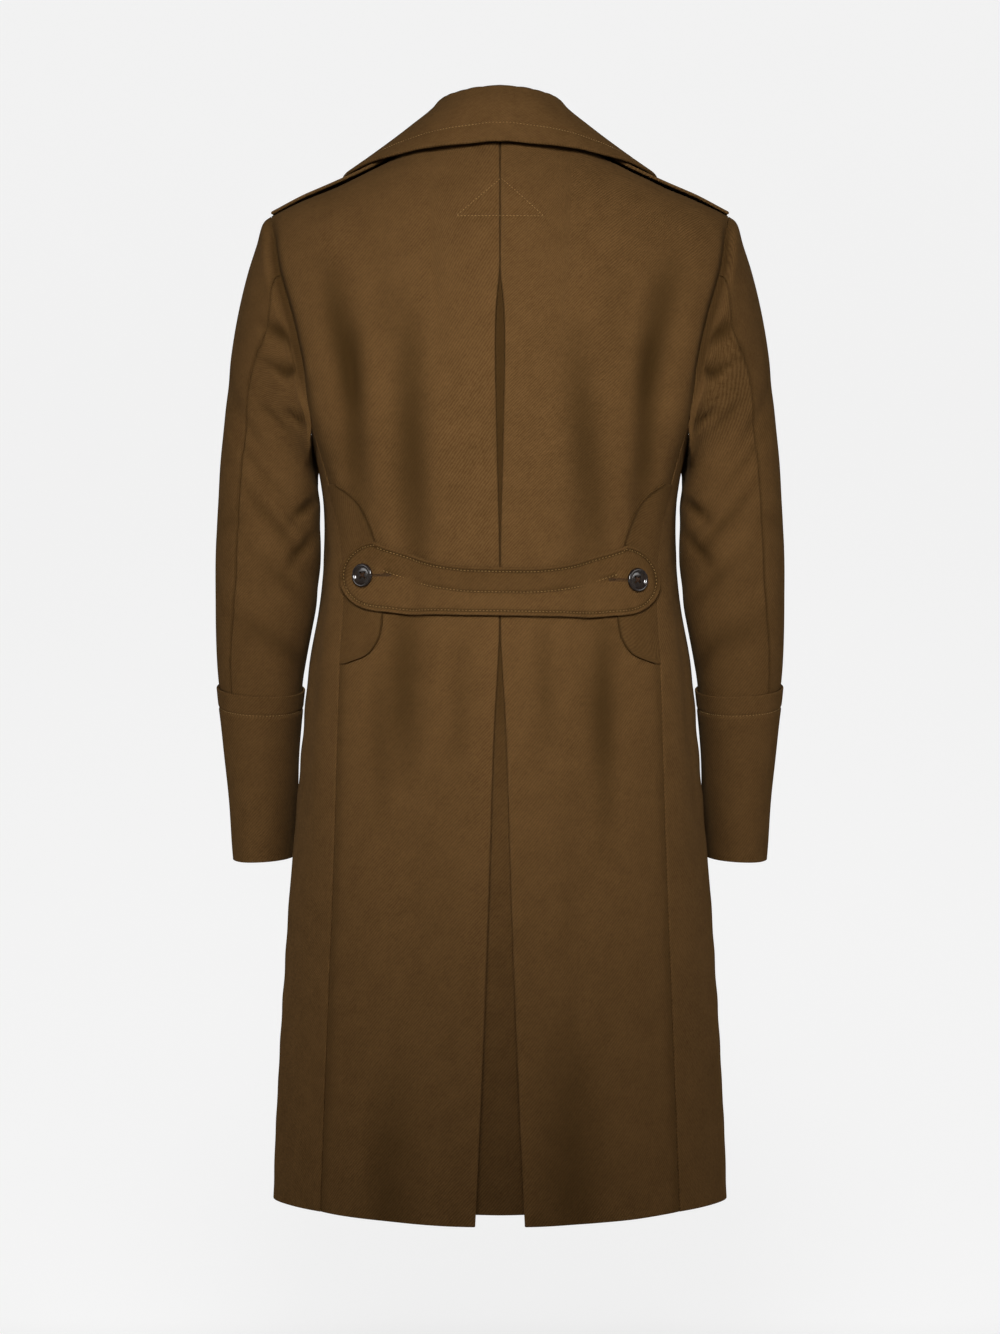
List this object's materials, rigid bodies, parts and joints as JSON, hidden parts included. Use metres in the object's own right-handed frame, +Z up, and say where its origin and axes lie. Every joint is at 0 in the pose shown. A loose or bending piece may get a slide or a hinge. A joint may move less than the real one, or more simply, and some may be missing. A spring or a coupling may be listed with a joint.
{
  "type": "double-breasted coat",
  "caption": "Long double-breasted wool coat in its worn, hollow form, with turned-down collar, turn-back cuffs, shoulder straps, buttoned half belt and inverted back pleat.",
  "frame": {"origin": "between the shoulders, level with the base of the neck, in the middle of the worn coat", "axes": "+Z up along the wearer, +Y towards the coat's front, +X towards the coat's right-hand side"},
  "size_m": [0.575, 0.3748, 1.1065],
  "materials": {
    "wool_cloth": "matte olive-brown wool twill with a soft nap and ochre topstitching",
    "dark_horn": "dark brown horn, softly polished, with a raised rim"
  },
  "bodies": {
    "root": {"back_left": "wool_cloth", "back_right": "wool_cloth", "pleat_underlay": "wool_cloth", "side_left": "wool_cloth", "side_right": "wool_cloth", "front_left": "wool_cloth", "front_right": "wool_cloth", "lapel_left": "wool_cloth", "lapel_right": "wool_cloth", "collar": "wool_cloth", "sleeve_top_left": "wool_cloth", "sleeve_top_right": "wool_cloth", "sleeve_under_left": "wool_cloth", "sleeve_under_right": "wool_cloth", "cuff_left": "wool_cloth", "cuff_right": "wool_cloth", "shoulder_strap_left": "wool_cloth", "shoulder_strap_right": "wool_cloth", "belt_patch_left": "wool_cloth", "belt_patch_right": "wool_cloth", "half_belt": "wool_cloth", "belt_button_left": "dark_horn", "belt_button_right": "dark_horn", "front_button_top_left": "dark_horn", "front_button_top_right": "dark_horn", "front_button_middle_left": "dark_horn", "front_button_middle_right": "dark_horn", "front_button_low_left": "dark_horn", "front_button_low_right": "dark_horn"}
  },
  "joints": []
}
